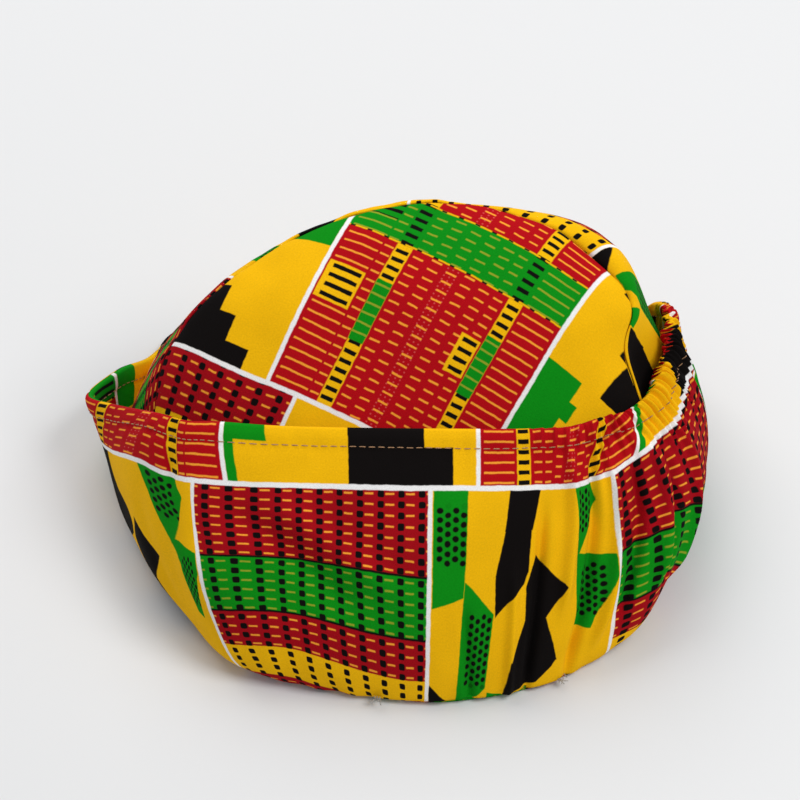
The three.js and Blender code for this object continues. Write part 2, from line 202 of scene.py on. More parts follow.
# Middle of the crown's wall: hub + (seam - hub) x reach in plan, and in height seam x share
# + slope x (1 - share), where share is reach to the power edgeDroop
def crownMiddle(at, reach):
    seam = seamPoints(at)[:, None]
    hubX, hubY = crownShape["hubAlong"] * halfLength, crownShape["hubAcross"] * halfWidth
    x = hubX + (seam[..., 0] - hubX) * reach
    y = hubY + (seam[..., 1] - hubY) * reach
    share = reach ** crownShape["edgeDroop"]
    z = seam[..., 2] * share + spineLift(y / halfWidth) * cap["raisedHeight"] * (1 - share)
    return np.stack([x, y, z], -1)


noiseSize = 256     # points of the noise's lattice along each side


# Smooth noise from -1 to 1: a seeded lattice of random heights, read between its points with
# 3f^2 - 2f^3 in x and in y, and repeating in x after a period if one is given. Callers divide mm by
# the spacing of the bumps they want, and numbers added only pick another part of the lattice.
def softNoise(x, y, seed, period=noiseSize):
    lattice = np.random.default_rng(seed).uniform(-1, 1, (noiseSize, noiseSize))
    x0, y0 = np.floor(x).astype(int), np.floor(y).astype(int)
    fx, fy = x - x0, y - y0
    fx, fy = fx * fx * (3 - 2 * fx), fy * fy * (3 - 2 * fy)
    i, nextI = x0 % period % noiseSize, (x0 + 1) % period % noiseSize
    j, nextJ = y0 % noiseSize, (y0 + 1) % noiseSize
    v00, v10 = lattice[i, j], lattice[nextI, j]
    v01, v11 = lattice[i, nextJ], lattice[nextI, nextJ]
    return (v00 * (1 - fx) + v10 * fx) * (1 - fy) + (v01 * (1 - fx) + v11 * fx) * fy


# 0 up to a, 1 from b on, and 3t^2 - 2t^3 between them
def smoothStep(a, b, v):
    t = np.clip((v - a) / (b - a), 0, 1)
    return t * t * (3 - 2 * t)


# Main folds. A row holds from at, from down, to at, to down, breadth and height. At is a share of
# the way round, the others are shares of the band's height.
folds = np.array([
    [0.668, 0.26, 0.745, 0.7, 0.05, -0.028],
    [0.69, 0.26, 0.765, 0.62, 0.045, 0.022],
    [0.628, 0.0, 0.64, 0.3, 0.03, -0.016],
    [0.655, 0.4, 0.7, 0.85, 0.1, 0.016],
    [0.841, 0.22, 0.85, 1.1, 0.02, -0.036],
    [0.856, 0.0, 0.862, 0.75, 0.021, 0.042],
    [0.871, 0.05, 0.876, 1.1, 0.019, -0.042],
    [0.884, 0.1, 0.888, 0.95, 0.021, 0.04],
    [0.9, 0.1, 0.897, 0.85, 0.019, -0.042],
    [0.915, 0.05, 0.915, 0.75, 0.021, 0.034],
    [0.828, 0.45, 0.838, 1.1, 0.02, 0.026],
    [0.8, 0.6, 0.812, 1.1, 0.02, -0.02],
    [0.93, 0.1, 0.925, 0.8, 0.02, -0.03],
    [0.95, 0.1, 0.945, 0.8, 0.02, 0.03],
    [0.6, 0.3, 0.63, 0.8, 0.06, -0.014],
    [0.3, 0.2, 0.33, 0.9, 0.08, 0.016],
    [0.2, 0.3, 0.21, 0.9, 0.06, -0.014],
])
foldEnds = 0.25     # share of a fold's length over which it rises


# Each fold is a rounded ridge or dent along a straight line in the flat cloth: height x
# e^-(distance off the line / breadth)^2, rising smoothly over its ends
def foldHeight(at, shares):
    total = np.zeros(np.broadcast(at, shares).shape)
    for fromAt, fromDown, toAt, toDown, breadth, height in folds:
        lineX, lineY = (toAt - fromAt) * cap["clothRound"], (toDown - fromDown) * cap["bandHeight"]
        x = (at % 1 - fromAt) * cap["clothRound"]
        y = (shares - fromDown) * cap["bandHeight"]
        length = math.hypot(lineX, lineY)
        along = (x * lineX + y * lineY) / length ** 2
        off = np.abs(x * lineY - y * lineX) / length
        ends = smoothStep(0, foldEnds, along) * smoothStep(0, foldEnds, 1 - along)
        ridge = np.exp(-(off / (breadth * cap["bandHeight"])) ** 2)
        total += height * cap["bandHeight"] * ends * ridge
    return total


gathers = {
    "share": 0.3,          # of the band drawn in by the elastic
    "middle": -0.02,
    "count": 33,
    "height": 2.0,
    "reach": 32,           # mm below the rim
    "uneven": 0.8,         # pleats by which a pleat may lie aside
    "least": 0.75,         # share of the height of a middling pleat
    "spread": 0.6,         # by which that share varies
    "smallHeight": 0.4,    # share of the height of the small pleats between
    "smallReach": 7,       # mm below the rim
    "smallCount": 2.3,     # small pleats to a pleat
}


# Pleats of the elastic, strongest at its middle: height x swell x fade x (size x cos(2 pi (turns
# + uneven)) + the small pleats' cosine x e^(-down / smallReach))
def gatherHeight(at, down):
    away = at - gathers["middle"]
    away = away - np.round(away)
    share = np.abs(away) / (gathers["share"] / 2)
    swell = np.where(share < 1, np.cos(np.clip(share, 0, 1) * math.pi / 2) ** 0.4, 0)
    depth = np.clip(down / gathers["reach"], 0, 1)
    fade = np.where(down < gathers["reach"], np.cos(depth * math.pi / 2) ** 2, 0)
    turns = away / gathers["share"] * gathers["count"]
    uneven = gathers["uneven"] * softNoise(turns * 0.6 + 40, down / 40, 5)
    size = gathers["least"] + gathers["spread"] * softNoise(turns * 0.9 + 70, down / 18, 6)
    smallTurns = turns * gathers["smallCount"] + 1.2 * uneven
    small = gathers["smallHeight"] * np.exp(-down / gathers["smallReach"]) * np.cos(smallTurns * 2 * math.pi)
    return gathers["height"] * swell * fade * (size * np.cos((turns + uneven) * 2 * math.pi) + small)


# Small puckers and wrinkles: heights in mm, counts round the cap
ruffle = {
    "seam": 0.7,
    "seamCount": 89,
    "seamReach": 9,       # mm from the crown seam
    "stitch": 0.35,
    "stitchCount": 177,
    "stitchReach": 5,     # mm from the topstitching
    "cloth": 1.1,
    "wideCount": 19,
    "fine": 0.35,         # share of the wide wrinkles' height
    "fineCount": 56,
    "calm": 12,           # mm from rim and seam over which the wrinkles die out
    "seed": 20,
}


# Small unevenness of the cloth: noise x e^(-distance / reach) at the crown seam, noise x
# e^-(distance / reach)^2 at the topstitching, and wide and fine noise between them
def puckers(at, down, totals):
    fromSeam, seed = totals - down, ruffle["seed"]
    count = ruffle["seamCount"]
    seamFade = np.exp(-fromSeam / ruffle["seamReach"])
    bySeam = ruffle["seam"] * seamFade * softNoise(at * count, fromSeam / 30, seed, count)
    count = ruffle["stitchCount"]
    stitchFade = np.exp(-((down - cap["hemDepth"]) / ruffle["stitchReach"]) ** 2)
    byStitch = ruffle["stitch"] * stitchFade * softNoise(at * count, down / 12, seed + 1, count)
    count = ruffle["wideCount"]
    wide = ruffle["cloth"] * softNoise(at * count + down / 40, down / 38, seed + 2, count)
    count = ruffle["fineCount"]
    fine = ruffle["fine"] * ruffle["cloth"] * softNoise(at * count - down / 20, down / 22, seed + 3, count)
    ends = np.minimum(smoothStep(0, ruffle["calm"], down), smoothStep(0, ruffle["calm"], fromSeam))
    return bySeam + byStitch + (wide + fine) * ends


# v over its own length
def unit(v):
    return v / np.maximum(np.linalg.norm(v, axis=-1, keepdims=True), 1e-9)


# Closed skin from columns of closed loops (columns x loop x 3): a quad between each point, the next
# along its loop and the same two of the next column. The cloth coordinates have one more column and
# one more row, so that the print doesn't fold back where the skin closes.
def skinMesh(name, points, cloth, material):
    columns, loop = points.shape[:2]
    i, j = np.indices((columns, loop))
    nextI, nextJ = (i + 1) % columns, (j + 1) % loop
    quads = np.stack([i * loop + j, nextI * loop + j, nextI * loop + nextJ, i * loop + nextJ], -1)
    uv = np.stack([cloth[i, j], cloth[i + 1, j], cloth[i + 1, j + 1], cloth[i, j + 1]], 2)
    return pourMesh(name, points.reshape(-1, 3), quads.reshape(-1, 4), uv.reshape(-1, 4, 2), material)


# Makes the mesh object. Its faces are turned outward by the sign of the enclosed volume, the sum of
# a . (b x c) + a . (c x d) over the quads' corners.
def pourMesh(name, points, quads, uv, material):
    a, b, c, d = (points[quads[:, k]] for k in range(4))
    volume = (a * np.cross(b, c)).sum() + (a * np.cross(c, d)).sum()
    if volume < 0:
        quads, uv = quads[:, ::-1], uv[:, ::-1]
    mesh = bpy.data.meshes.new(name)
    mesh.vertices.add(len(points))
    mesh.vertices.foreach_set("co", ((points + np.array(cap["shift"])) / 1000).ravel())
    mesh.loops.add(quads.size)
    mesh.loops.foreach_set("vertex_index", quads.ravel().astype(np.int32))
    mesh.polygons.add(len(quads))
    mesh.polygons.foreach_set("loop_start", np.arange(0, quads.size, 4, dtype=np.int32))
    mesh.update(calc_edges=True)
    mesh.polygons.foreach_set("use_smooth", np.ones(len(quads), bool))
    layer = mesh.uv_layers.new(name="cloth")
    layer.data.foreach_set("uv", uv.reshape(-1).astype(np.float32))
    mesh.materials.append(material)
    obj = bpy.data.objects.new(name, mesh)
    bpy.context.scene.collection.objects.link(obj)
    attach(obj, "root")
    return obj


# Round edge of a wall: the thickness grows like a quarter circle from the edge, sqrt(1 - (1 - t)^2)
def roundedEdge(fromEdge, radius):
    t = np.clip(fromEdge / radius, 0, 1)
    return np.sqrt(1 - (1 - t) ** 2)


bandGrid = {
    "columns": 1200,
    "rows": 64,
    "rimRows": 5,         # of the rows, close together at the rim
    "rimDepth": 1.6,      # mm that they take up
    "innerRows": 12,
    "start": {1: 0.3, -1: -0.25},   # share of the way round where each side's cloth is joined
}
bandSeams = {
    "groove": 0.35,       # mm, along the topstitching
    "grooveBreadth": 0.9,
    "fullness": 0.45,     # mm, of the hem's channel
    "pull": 0.5,          # mm, in at the crown seam
    "pullReach": 1.5,
}
tableGap = 0.05           # mm between the lowest cloth and the table
bandFaces = {}            # the bands' visible faces, for the sewing on them


# One layer of the side band, side 1 for the outer cloth and -1 for the lining: the wall's middle plus
# its normal x (waves + side x distance from the middle). The distance is a round edge at the rim, the
# full hem, the stitched groove and the pull of the crown seam.
def bandLayer(name, side, material, clothUV):
    start = bandGrid["start"][side]
    at = start + np.arange(bandGrid["columns"]) / bandGrid["columns"]
    hem = np.linspace(0, bandGrid["rimDepth"], bandGrid["rimRows"] + 1)[:-1] / cap["bandHeight"]
    below = np.linspace(bandGrid["rimDepth"] / cap["bandHeight"], 1, bandGrid["rows"] - bandGrid["rimRows"])
    rows = np.concatenate([hem, below])
    shares = np.broadcast_to(rows, (len(at), len(rows)))
    middle, totals = bandMiddle(at, shares)
    down = shares * totals[:, None]
    along = np.roll(middle, -1, 0) - np.roll(middle, 1, 0)
    toRim = -np.gradient(middle, axis=1)
    normal = unit(np.cross(along, toRim))
    wave = gatherHeight(at[:, None], down) + foldHeight(at[:, None], shares)
    wave = wave + puckers(at[:, None], down, totals[:, None])
    edge = roundedEdge(down, outerFace)
    fromStitch = (down - cap["hemDepth"]) / bandSeams["grooveBreadth"]
    groove = -bandSeams["groove"] * np.exp(-fromStitch ** 2)
    full = bandSeams["fullness"] * np.sin(np.clip(down / cap["hemDepth"], 0, 1) * math.pi)
    seamPull = -bandSeams["pull"] * np.exp(-(totals[:, None] - down) / bandSeams["pullReach"])
    away = outerFace * edge + full + groove + seamPull
    face = middle + normal * (wave + side * away)[..., None]
    bandFaces[side] = (at, rows, face, side * normal)
    pick = np.unique(np.linspace(1, len(rows) - 1, bandGrid["innerRows"]).astype(int))
    near = (middle + normal * (wave + side * innerFace)[..., None])[:, pick]
    points = np.concatenate([face, near[:, ::-1]], 1)
    points[..., 2] = np.maximum(points[..., 2], tableGap - cap["shift"][2])
    places = start + np.arange(len(at) + 1)[:, None] / len(at)
    cloth = clothUV(places, np.concatenate([rows, rows[pick][::-1], rows[:1]])[None])
    return skinMesh(name, points, cloth, material)


slopeEnds, slopeSamples = 1.1, 441     # halves of the crown's width, and points that measure the slope


# Length of cloth along the crown's slope to a place across: the sum of sqrt(1 + rise^2) x step
def slopeLength(across):
    places = np.linspace(-slopeEnds, slopeEnds, slopeSamples)
    rise = np.gradient(spineLift(places) * cap["raisedHeight"], places * halfWidth)
    run = np.cumsum(np.sqrt(1 + rise ** 2)) * (places[1] - places[0]) * halfWidth
    return np.interp(across, places, run - run[0])


crownGrid = {
    "columns": 360,
    "rings": 80,
    "innerRings": 14,
    "hub": 0.004,         # reach of the first ring
    "crowding": 1.3,      # how much closer the rings stand towards the seam
    "seam": 0.997,        # reach of the last ring
}
crownWaves = {
    "wide": 0.7,          # mm
    "fine": 0.32,
    "seam": 0.4,
    "seamCount": 80,
    "seamReach": 8,       # mm from the seam
    "calm": 10,           # mm from the seam over which the waves die out
    "pull": 0.6,
    "pullReach": 1.6,
    "radius": 90,         # mm from hub to seam, about
}


# One layer of the crown, from the hub out to the seam and back: the wall's middle plus its normal x
# (noise in plan + puckers x e^(-distance / reach) at the seam + side x distance from the middle)
def crownLayer(name, side, material, clothUV):
    at = np.arange(crownGrid["columns"]) / crownGrid["columns"]
    rings = 1 - (1 - np.linspace(crownGrid["hub"], 1, crownGrid["rings"])) ** crownGrid["crowding"]
    reach = np.broadcast_to(rings * crownGrid["seam"], (len(at), len(rings)))
    middle = crownMiddle(at, reach)
    along = np.roll(middle, -1, 0) - np.roll(middle, 1, 0)
    outward = np.gradient(middle, axis=1)
    normal = unit(np.cross(along, outward))
    x, y = middle[..., 0], middle[..., 1]
    wave = crownWaves["wide"] * softNoise(x / 30 + 9, y / 34 + 9, 31)
    wave = wave + crownWaves["fine"] * softNoise(x / 12 + 20, y / 15 + 20, 32)
    fromSeam = (1 - reach) * crownWaves["radius"]
    wave = wave * smoothStep(0, crownWaves["calm"], fromSeam)
    count = crownWaves["seamCount"]
    seamNoise = softNoise(at[:, None] * count, fromSeam / 30, 33, count)
    wave = wave + crownWaves["seam"] * np.exp(-fromSeam / crownWaves["seamReach"]) * seamNoise
    seamPull = -crownWaves["pull"] * np.exp(-fromSeam / crownWaves["pullReach"])
    face = middle + normal * (wave + side * (outerFace + seamPull))[..., None]
    pick = np.unique(np.linspace(0, len(rings) - 1, crownGrid["innerRings"]).astype(int))
    near = (middle + normal * (wave + side * innerFace)[..., None])[:, pick]
    points = np.concatenate([face, near[:, ::-1]], 1)
    points[..., 2] = np.maximum(points[..., 2], tableGap - cap["shift"][2])
    cloth = clothUV(points[..., 0], points[..., 1])
    cloth = np.concatenate([cloth, cloth[:1]], 0)
    cloth = np.concatenate([cloth, cloth[:, :1]], 1)
    return skinMesh(name, points, cloth, material)


print("shapes ready")

# The print is drawn in steps of printStep. u runs along the cloth and v up to the rim, with v = 0 on
# the white line below the hem. Each tile has a row of yellow and red blocks and, above it, a row of
# dotted and lozenge cells.
printStep = 0.357      # mm
tile = {
    "width": 480,
    "height": 595,
    "blockTop": 300,   # top of the row of blocks
    "redStart": 253,   # left edge of the red block
    "cellShift": 32,   # the cells stand this much aside of the blocks
    "dotsWidth": 241,
    "weft": 10.2,      # from one bar or dash of the red block to the next
    "line": 2.1,       # half the breadth of the white lines between blocks and between cells
    "hemLine": 2.6,    # and of the line below the hem
    "rowLine": 2.4,    # and of the one between the rows
    "past": 10,        # how far a line's mask runs past the tile's end
}

inks = {
    "red": (0.43, 0.002, 0.006, 1),
    "crimson": (0.35, 0.002, 0.007, 1),
    "yellow": (0.88, 0.47, 0.002, 1),
    "green": (0.002, 0.25, 0.006, 1),
    "black": (0.0035, 0.0022, 0.002, 1),
    "white": (0.86, 0.85, 0.84, 1),
    "rose": (0.62, 0.085, 0.075, 1),
    "dash": (0.9, 0.34, 0.03, 1),
    "greenDash": (0.28, 0.33, 0.02, 1),
}


# Adds math nodes to a material. Values may be numbers or other nodes' outputs, and a mask is 1 where
# an ink is printed.
class Sums:
    def __init__(self, tree):
        self.tree = tree

    # One math node: what is the name of its sum
    def do(self, what, *values, clamp=False):
        node = self.tree.nodes.new("ShaderNodeMath")
        node.operation = what
        node.use_clamp = clamp
        for k, value in enumerate(values):
            if isinstance(value, (int, float)):
                node.inputs[k].default_value = value
            else:
                self.tree.links.new(value, node.inputs[k])
        return node.outputs[0]

    # 1 where x is above a, over a soft edge: (x - a) / soft + 0.5
    def above(self, x, a, soft=1.1):
        return self.do("MULTIPLY_ADD", x, 1 / soft, 0.5 - a / soft, clamp=True)

    # 1 where x is between a and b: half the breadth less the distance from the middle, over soft, + 0.5
    def within(self, x, a, b, soft=1.1):
        off = self.do("ABSOLUTE", self.do("SUBTRACT", x, (a + b) / 2))
        return self.do("MULTIPLY_ADD", off, -1 / soft, 0.5 + (b - a) / 2 / soft, clamp=True)

    # 1 where all masks are: their product
    def both(self, *masks):
        total = masks[0]
        for mask in masks[1:]:
            total = self.do("MULTIPLY", total, mask)
        return total

    # 1 where any mask is: the greatest of them
    def either(self, *masks):
        total = masks[0]
        for mask in masks[1:]:
            total = self.do("MAXIMUM", total, mask)
        return total

    # 1 where x is inside any of the ranges (from, to)
    def among(self, x, ranges):
        return self.either(*[self.within(x, a, b) for a, b in ranges])

    # 1 where x is between a and b and y between c and d, for any of the boxes
    def boxes(self, x, y, boxes):
        return self.either(*[self.both(self.within(x, a, b), self.within(y, c, d)) for a, b, c, d in boxes])

    # Place inside a repeat, from minus half to plus half of it: (x - start) modulo pitch - pitch / 2
    def repeat(self, x, pitch, start=0):
        inside = self.do("FLOORED_MODULO", self.do("SUBTRACT", x, start), pitch)
        return self.do("SUBTRACT", inside, pitch / 2)

    # Rounded square dot: 1 where x^4 + y^4 is under r^4
    def dot(self, x, y, r):
        x2, y2 = self.do("MULTIPLY", x, x), self.do("MULTIPLY", y, y)
        sum4 = self.do("ADD", self.do("MULTIPLY", x2, x2), self.do("MULTIPLY", y2, y2))
        return self.do("MULTIPLY_ADD", sum4, -1 / (3 * r ** 3), 0.5 + r / 3, clamp=True)

    # Area inside a list of corners, clockwise as seen with y down: the product of a soft mask along
    # each edge, worked out from the distance (x - ax) nx + (y - ay) ny to its right
    def corners(self, x, y, points):
        masks = []
        for (ax, ay), (bx, by) in zip(points, points[1:] + points[:1]):
            length = math.hypot(bx - ax, by - ay)
            nx, ny = -(by - ay) / length, (bx - ax) / length
            down = self.do("MULTIPLY_ADD", y, ny, 0.5 - ax * nx - ay * ny)
            masks.append(self.do("MULTIPLY", self.do("MULTIPLY_ADD", x, nx, down), 0.9, clamp=True))
        return self.both(*masks)


# Lays inks over each other. Each layer is an ink, by name or as a node's output, and the mask of where
# it is printed: colour x (1 - mask) + ink x mask.
def layInks(tree, base, layers):
    colour = base
    for ink, mask in layers:
        mix = tree.nodes.new("ShaderNodeMix")
        mix.data_type = "RGBA"
        tree.links.new(mask, mix.inputs["Factor"])
        for socket, value in (("A", colour), ("B", ink)):
            if isinstance(value, str):
                mix.inputs[socket].default_value = inks[value]
            else:
                tree.links.new(value, mix.inputs[socket])
        colour = mix.outputs["Result"]
    return colour


# Stepped shapes of the plain yellow block, a row for each step: left, right, bottom, top
plainBlock = {
    "green": [
        (2, 11, 2, 45), (2, 41, 43, 150),
        (213, 252, 150, 260), (205, 252, 174, 195), (244, 252, 258, 298),
    ],
    "black": [
        (123, 230, 2, 40), (123, 203, 38, 94), (143, 193, 92, 150),
        (30, 130, 277, 298), (56, 130, 250, 279), (74, 130, 220, 252), (96, 112, 195, 222),
    ],
}
# Parts of the red block: from and to, in steps from its left edge or, for bands, up from the line
redBlock = {
    "longDashes": [(6, 40), (187, 221)],
    "shortDashes": [(62, 71), (175.5, 184.5)],
    "bricks": (73, 159),
    "brickPitch": 17.2,
    "brickDash": 5.2,         # half its length
    "stagger": 5.1,           # every other column of bricks stands this much higher
    "thin": 1.0,              # half the breadth of dashes
    "fat": 2.2,               # and of black bars
    "crisp": 0.9,             # soft edge of dashes and bars
    "pins": (110, 124),
    "pinPitch": (5.2, 4.3),
    "pinStart": 108.4,
    "pinRadius": 0.75,
    "ladders": [(43, 58), (159, 174.5)],
    "rungs": [(44.5, 56.5), (160.5, 173)],
    "greenRungs": [(163, 228), (460, 490)],
    "patches": [(187, 223, 163.2, 204), (60, 80, 173.4, 214.2)],
    "patchBars": [(189.5, 218), (62, 76.5)],
    "band": (66, 119),
    "bandEdges": [(65.2, 67), (118, 119.8)],
    "edgeBeat": 17,           # pitch of the yellow pieces in the band's edges
    "edgePiece": 6,           # half their length
    "bandBars": (186, 222),
    "bandBarsUp": (66, 96),
}


# Row of blocks, p steps along and q steps up: yellow blocks with stepped shapes, and red blocks with
# woven-look bars and ladders. Every mask is a range, a box or a dot in p, q or their repeats.
def plainRow(sums, p, q):
    red = redBlock
    r = sums.do("SUBTRACT", p, tile["redStart"])
    weft = sums.repeat(q, tile["weft"])
    bar = sums.within(weft, -red["thin"], red["thin"], red["crisp"])
    fatBar = sums.within(weft, -red["fat"], red["fat"], red["crisp"])
    longDash = sums.both(sums.among(r, red["longDashes"]), bar)
    shortDash = sums.both(sums.among(r, red["shortDashes"]), bar)
    brick = sums.do("SUBTRACT", r, red["bricks"][0])
    column = sums.do("FLOOR", sums.do("DIVIDE", brick, red["brickPitch"]))
    stagger = sums.do("MULTIPLY", sums.do("FLOORED_MODULO", column, 2), red["stagger"])
    brickWeft = sums.repeat(sums.do("ADD", q, stagger), tile["weft"])
    brickDash = sums.both(
        sums.within(r, *red["bricks"]),
        sums.within(sums.repeat(brick, red["brickPitch"]), -red["brickDash"], red["brickDash"]),
        sums.within(brickWeft, -red["thin"], red["thin"], red["crisp"]))
    pinX, pinY = sums.repeat(r, red["pinPitch"][0], red["pinStart"]), sums.repeat(q, red["pinPitch"][1])
    pins = sums.both(sums.dot(pinX, pinY, red["pinRadius"]), sums.within(r, *red["pins"]))
    ladders = sums.among(r, red["ladders"])
    rungs = sums.both(sums.among(r, red["rungs"]), fatBar)
    greenLadders = sums.both(ladders, sums.among(q, red["greenRungs"]))
    patch = sums.boxes(r, q, red["patches"])
    patchBars = sums.both(sums.among(r, red["patchBars"]), fatBar)
    band = sums.within(q, *red["band"])
    bandBars = sums.both(sums.within(r, *red["bandBars"]), sums.within(q, *red["bandBarsUp"]), fatBar)
    bandEdge = sums.among(q, red["bandEdges"])
    edgeBeat = sums.within(sums.repeat(r, red["edgeBeat"]), -red["edgePiece"], red["edgePiece"])
    dashes = sums.either(longDash, shortDash, brickDash)
    woven = layInks(sums.tree, "red", [
        ("rose", pins),
        ("dash", dashes),
        ("yellow", ladders),
        ("black", rungs),
        ("green", greenLadders),
        ("greenDash", sums.both(greenLadders, bar)),
        ("yellow", patch),
        ("black", sums.both(patch, patchBars)),
        ("green", band),
        ("greenDash", sums.both(band, dashes)),
        ("black", sums.both(band, sums.either(rungs, bandBars))),
        ("black", bandEdge),
        ("yellow", sums.both(bandEdge, edgeBeat)),
    ])
    shapes = [(ink, sums.boxes(p, q, steps)) for ink, steps in plainBlock.items()]
    plain = layInks(sums.tree, "yellow", shapes)
    start, half, end = tile["redStart"], tile["line"], tile["width"]
    lines = sums.among(p, [(-half, half), (start - half, start + half), (end - half, end + tile["past"])])
    return layInks(sums.tree, plain, [(woven, sums.above(p, start)), ("white", lines)])


# Parts of the dotted cell, in steps across it or down from the white line
dottedCell = {
    "pitch": (21.9, 10.7),
    "dotStart": (2.65, 0.6),
    "dotRadius": 3.5,
    "dashStart": 12.2,
    "dash": (4.6, 1.0),          # half its length and breadth
    "green": (85, 148),
    "greenEdges": [(84, 86.4), (147, 149.4)],
    "yellow": (191, 232),
}
# Seeds of the green lozenges: round dots in staggered columns, inside boxes of left, right, top, bottom
seedDots = {
    "pitch": (7.4, 8.8),
    "start": 5.6,
    "radius": 2.9,
    "soft": 0.9,
    "boxes": [(7, 36, 18, 74), (43, 70, 122, 198), (177, 206, 5, 50), (193, 228, 90, 146)],
}
lozengeFold = 470     # steps down: the lower lozenges mirror the upper ones about half of this
# Corners of the lozenges, in steps across the cell and down
lozenges = {
    "green": [
        [(3, 2), (35, 2), (35, 104), (3, 116)],
        [(35, 88), (73, 122), (73, 200), (54, 217), (35, 215)],
        [(170, 2), (212, 2), (220, 22), (177, 82)],
        [(176, 72), (236, 84), (236, 108), (212, 163), (190, 158), (182, 110)],
        [(76, 205), (98, 212), (92, 232), (76, 240)],
    ],
    "black": [
        [(80, 2), (113, 2), (107, 43), (76, 43)],
        [(77, 41), (106, 41), (110, 86), (70, 86)],
        [(70, 84), (110, 84), (106, 97), (75, 126)],
        [(117, 69), (161, 104), (141, 136), (114, 136), (109, 99)],
        [(114, 133), (141, 133), (163, 186), (102, 178)],
        [(102, 173), (163, 184), (142, 206), (98, 216)],
        [(2, 194), (26, 217), (14, 240), (2, 250)],
    ],
}


# Row of cells, m steps along and d steps down from the white line: cells of dots and dashes, and
# cells of lozenges with seeds. A seed is the distance sqrt(x^2 + y^2) from its middle under a radius,
# and is kept whole by testing where its middle is.
def cellRow(sums, m, d):
    cell = dottedCell
    x = sums.repeat(m, cell["pitch"][0], cell["dotStart"][0])
    y = sums.repeat(d, cell["pitch"][1], cell["dotStart"][1])
    dots = sums.both(sums.dot(x, y, cell["dotRadius"]), sums.within(m, 2, tile["dotsWidth"] - 1))
    dashX = sums.repeat(m, cell["pitch"][0], cell["dashStart"])
    length, breadth = cell["dash"]
    dash = sums.within(y, -breadth, breadth, redBlock["crisp"])
    dashes = sums.both(sums.within(dashX, -length, length), dash)
    green, yellow = sums.within(d, *cell["green"]), sums.within(d, *cell["yellow"])
    edges = sums.among(d, cell["greenEdges"])
    dotted = layInks(sums.tree, "crimson", [
        ("dash", dashes),
        ("green", green),
        ("greenDash", sums.both(green, dashes)),
        ("yellow", yellow),
        ("black", sums.either(dots, edges)),
    ])
    start, half, end = tile["dotsWidth"], tile["line"], tile["width"]
    across = sums.do("SUBTRACT", m, start)
    mirrored = sums.do("MINIMUM", d, sums.do("SUBTRACT", lozengeFold, d))
    masks = {}
    for ink, shapes in lozenges.items():
        masks[ink] = sums.either(*[sums.corners(across, mirrored, shape) for shape in shapes])
    pitchX, pitchY = seedDots["pitch"]
    column = sums.do("FLOOR", sums.do("MULTIPLY_ADD", across, 1 / pitchX, -seedDots["start"] / pitchX))
    stagger = sums.do("MULTIPLY", sums.do("FLOORED_MODULO", column, 2), pitchY / 2)
    seedX = sums.repeat(across, pitchX, seedDots["start"])
    seedY = sums.repeat(sums.do("ADD", d, stagger), pitchY)
    squares = sums.do("ADD", sums.do("MULTIPLY", seedX, seedX), sums.do("MULTIPLY", seedY, seedY))
    soft = seedDots["soft"]
    edge = 0.5 + seedDots["radius"] * soft
    seeds = sums.do("MULTIPLY_ADD", sums.do("SQRT", squares), -soft, edge, clamp=True)
    middleX, middleY = sums.do("SUBTRACT", across, seedX), sums.do("SUBTRACT", mirrored, seedY)
    seedPlaces = sums.boxes(middleX, middleY, seedDots["boxes"])
    lozenge = layInks(sums.tree, "yellow", [
        ("green", masks["green"]),
        ("black", sums.either(masks["black"], sums.both(seeds, seedPlaces, masks["green"]))),
    ])
    lines = sums.among(m, [(-half, half), (start - half, start + half), (end - half, end + tile["past"])])
    return layInks(sums.tree, dotted, [(lozenge, sums.above(m, start)), ("white", lines)])


weave = {
    "wobble": 1.6,            # steps by which printed edges wander
    "wobbleScale": 0.11,      # a step, as are the next two
    "slubScale": 0.55,
    "broadScale": 0.018,
    "slubTone": 0.34,         # how far slubs lighten and darken the dye
    "broadTone": 0.2,
    "threadPitch": 1.25,      # steps
    "threadHeight": 0.35,
    "slubHeight": 1.4,
    "relief": 0.35,           # strength of the bump
    "depth": 0.00016,         # m
    "roughness": 0.92,
    "shine": 0.1,
}


# Noise on the cloth's own coordinates
def clothNoise(tree, place, scale, detail):
    noise = tree.nodes.new("ShaderNodeTexNoise")
    noise.inputs["Scale"].default_value = scale
    noise.inputs["Detail"].default_value = detail
    tree.links.new(place, noise.inputs["Vector"])
    return noise


